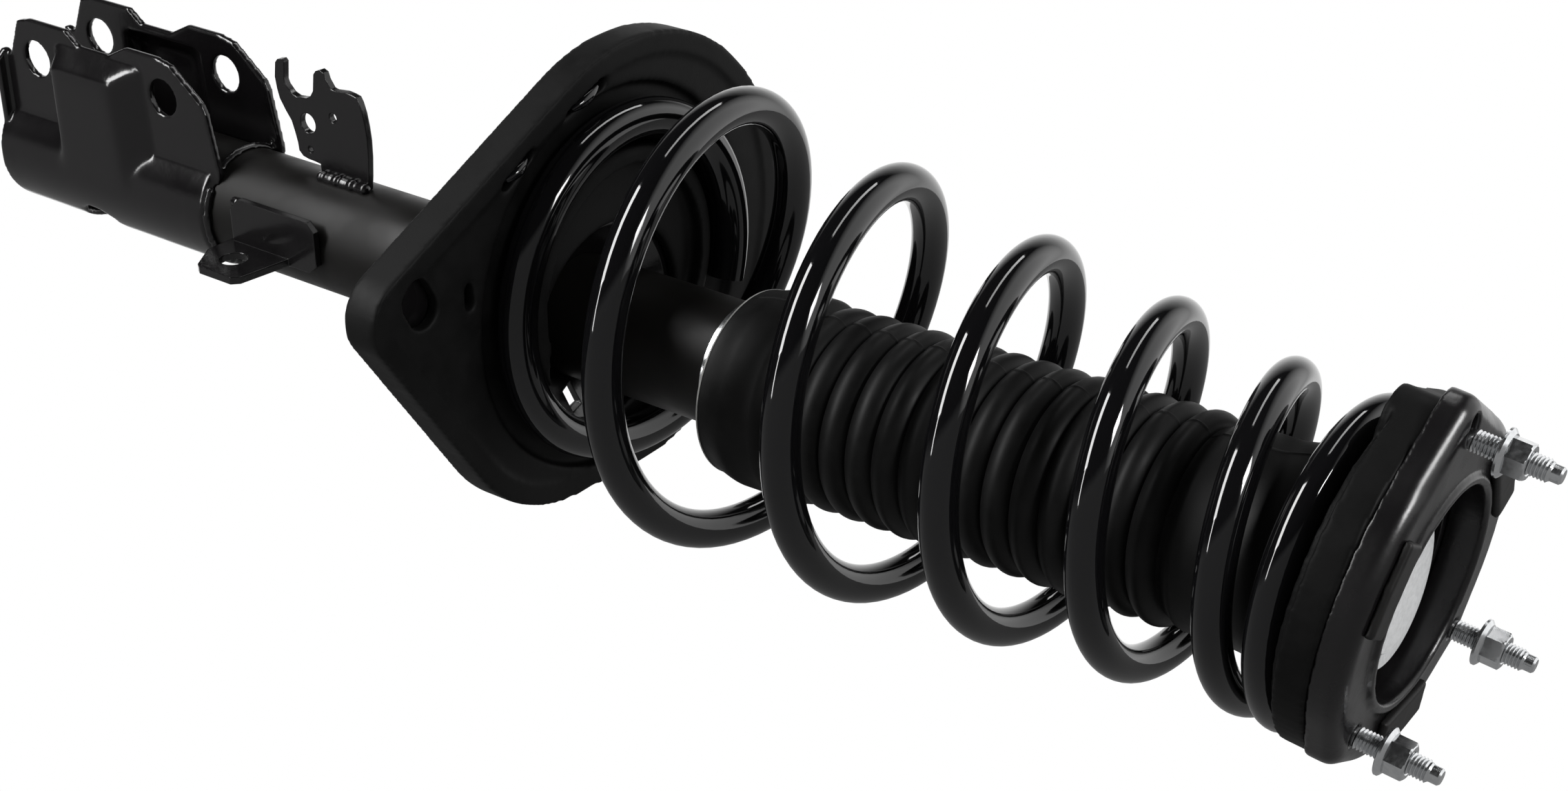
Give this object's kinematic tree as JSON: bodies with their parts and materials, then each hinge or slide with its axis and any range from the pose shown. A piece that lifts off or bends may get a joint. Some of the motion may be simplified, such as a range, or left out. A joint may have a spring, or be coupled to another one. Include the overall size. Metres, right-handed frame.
{
  "type": "suspension strut",
  "caption": "Coil-over suspension strut with tapered spring, folded dust boot, cornered spring seat, clevis knuckle bracket and a tilted rubber top mount with studs.",
  "frame": {"origin": "on the strut axis in the plane of the top mount's face", "axes": "+Z along the strut axis towards the top mount, +X along the knuckle bolts, +Y towards the bracket's ears"},
  "size_m": [0.242, 0.1908, 0.7361],
  "materials": {
    "tube_paint": "satin black paint",
    "plain_steel": "bright steel",
    "sintered_iron": "sintered iron",
    "bronze": "bronze bush",
    "seal_rubber": "oil-proof rubber",
    "zinc_plate": "zinc plated",
    "gloss_black": "gloss black coat",
    "seat_rubber": "matte moulded rubber",
    "hard_chrome": "ground hard chrome",
    "white_ptfe": "low-friction band",
    "stop_foam": "cellular foam",
    "boot_rubber": "matte soft rubber",
    "spring_paint": "gloss black powder coat",
    "shell_coat": "semi-gloss black coat",
    "mount_rubber": "matte rubber"
  },
  "bodies": {
    "mount_and_rod": {"piston_rod": "hard_chrome", "rebound_bumper": "seal_rubber", "rebound_ring": "plain_steel", "piston": "sintered_iron", "piston_band": "white_ptfe", "upper_valve_discs": "plain_steel", "lower_valve_discs": "plain_steel", "piston_nut": "plain_steel", "bump_stop": "stop_foam", "dust_boot": "boot_rubber", "coil_spring": "spring_paint", "upper_spring_insulator": "seat_rubber", "mount_shell": "shell_coat", "mount_base_plate": "shell_coat", "mount_rubber": "mount_rubber", "mount_lugs": "mount_rubber", "rod_washer": "zinc_plate", "mount_core": "plain_steel", "rod_nut": "zinc_plate", "centre_cover": "zinc_plate", "mount_studs": "zinc_plate", "flange_nuts": "zinc_plate"},
    "tube_and_bracket": {"outer_tube": "tube_paint", "tube_bottom_cap": "tube_paint", "pressure_tube": "plain_steel", "base_valve_body": "sintered_iron", "base_valve_disc": "plain_steel", "base_valve_bolt": "plain_steel", "rod_guide": "sintered_iron", "rod_guide_bush": "bronze", "oil_seal": "seal_rubber", "striker_cap": "zinc_plate", "spring_seat_pan": "gloss_black", "lower_spring_insulator": "seat_rubber", "knuckle_bracket": "gloss_black", "wire_bracket": "gloss_black", "hose_bracket": "gloss_black"}
  },
  "joints": [
    {"name": "strut_stroke", "type": "slide", "parent": "mount_and_rod", "child": "tube_and_bracket", "axis": [0, 0, 1], "range_m": [0, 0.162], "stiffness_N_per_m": 22000, "springref_m": -0.036, "deforming": ["coil_spring", "dust_boot"]}
  ]
}
